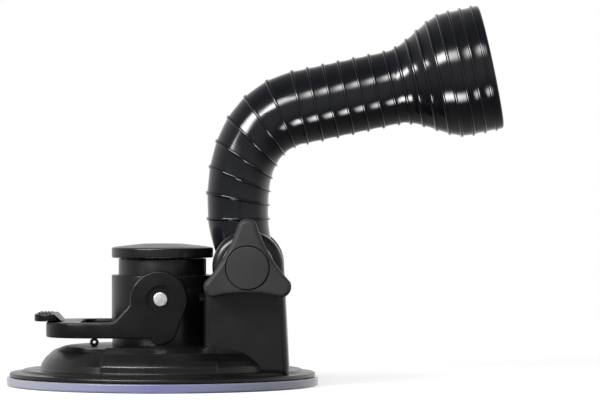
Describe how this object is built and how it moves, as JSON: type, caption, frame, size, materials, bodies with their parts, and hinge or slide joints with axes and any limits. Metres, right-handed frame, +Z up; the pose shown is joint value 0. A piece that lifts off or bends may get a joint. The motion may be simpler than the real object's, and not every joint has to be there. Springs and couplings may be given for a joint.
{
  "type": "suction base holder arm",
  "caption": "Vacuum suction base with a cam lever, a forked friction clamp with a three-lobed knob, and a curved ribbed arm ending in an open bell.",
  "frame": {"origin": "centre of the suction disc's underside, on the bench surface", "axes": "+Z up, +X from the base towards the bell, -Y towards the clamp knob, which is the front"},
  "size_m": [0.1441, 0.0904, 0.1101],
  "materials": {
    "housing_plastic": "satin injection-moulded black",
    "lever_plastic": "satin injection-moulded black",
    "arm_plastic": "glossy black with a cool cast",
    "knob_plastic": "fine matte texture, dark grey",
    "clear_pvc": "soft clear, faint violet tint",
    "white_nylon": "natural",
    "bright_steel": "bright, faintly turned end face",
    "zinc_steel": "zinc plated",
    "insert_brass": "machined"
  },
  "bodies": {
    "base": {"base_housing": "housing_plastic", "suction_cup": "clear_pvc", "return_spring": "zinc_steel", "clamp_bolt": "zinc_steel", "bolt_washer": "zinc_steel"},
    "stem": {"cup_stud": "white_nylon", "stem_sleeve": "housing_plastic", "stem_cap": "housing_plastic", "pivot_pin": "bright_steel", "pin_clip": "zinc_steel"},
    "lever": {"cam_lever": "lever_plastic"},
    "arm": {"arm_shell_front": "arm_plastic", "arm_shell_back": "arm_plastic", "bell_rim": "arm_plastic", "bell_bulkhead": "knob_plastic", "arm_screw_1": "zinc_steel", "arm_screw_2": "zinc_steel", "arm_screw_3": "zinc_steel", "pivot_sleeve": "bright_steel", "friction_washer_front": "white_nylon", "friction_washer_back": "white_nylon"},
    "thrust": {"thrust_washer": "zinc_steel"},
    "knob": {"clamp_knob": "knob_plastic", "knob_insert": "insert_brass", "knob_cap": "knob_plastic"}
  },
  "joints": [
    {"name": "stem_slide", "type": "slide", "parent": "base", "child": "stem", "axis": [0, 0, 1], "range_m": [-0.0046, 0], "deforming": ["return_spring", "suction_cup"]},
    {"name": "lever_turn", "type": "hinge", "parent": "stem", "child": "lever", "pos_m": [0, 0, 0.0256], "axis": [0, 1, 0], "range_deg": [0, 90]},
    {"name": "arm_tilt", "type": "hinge", "parent": "base", "child": "arm", "pos_m": [0.025, 0, 0.0349], "axis": [0, 1, 0], "range_deg": [0, 50]},
    {"name": "knob_travel", "type": "slide", "parent": "base", "child": "thrust", "axis": [0, -1, 0], "range_m": [0, 0.0015]},
    {"name": "knob_turn", "type": "hinge", "parent": "thrust", "child": "knob", "pos_m": [0.025, 0, 0.0349], "axis": [0, -1, 0], "range_deg": [0, 540]}
  ],
  "couplings": [
    {"joint": "lever_turn", "follows": "stem_slide", "rad_per_m": -341.47},
    {"joint": "knob_turn", "follows": "knob_travel", "rad_per_m": 6283.1}
  ]
}
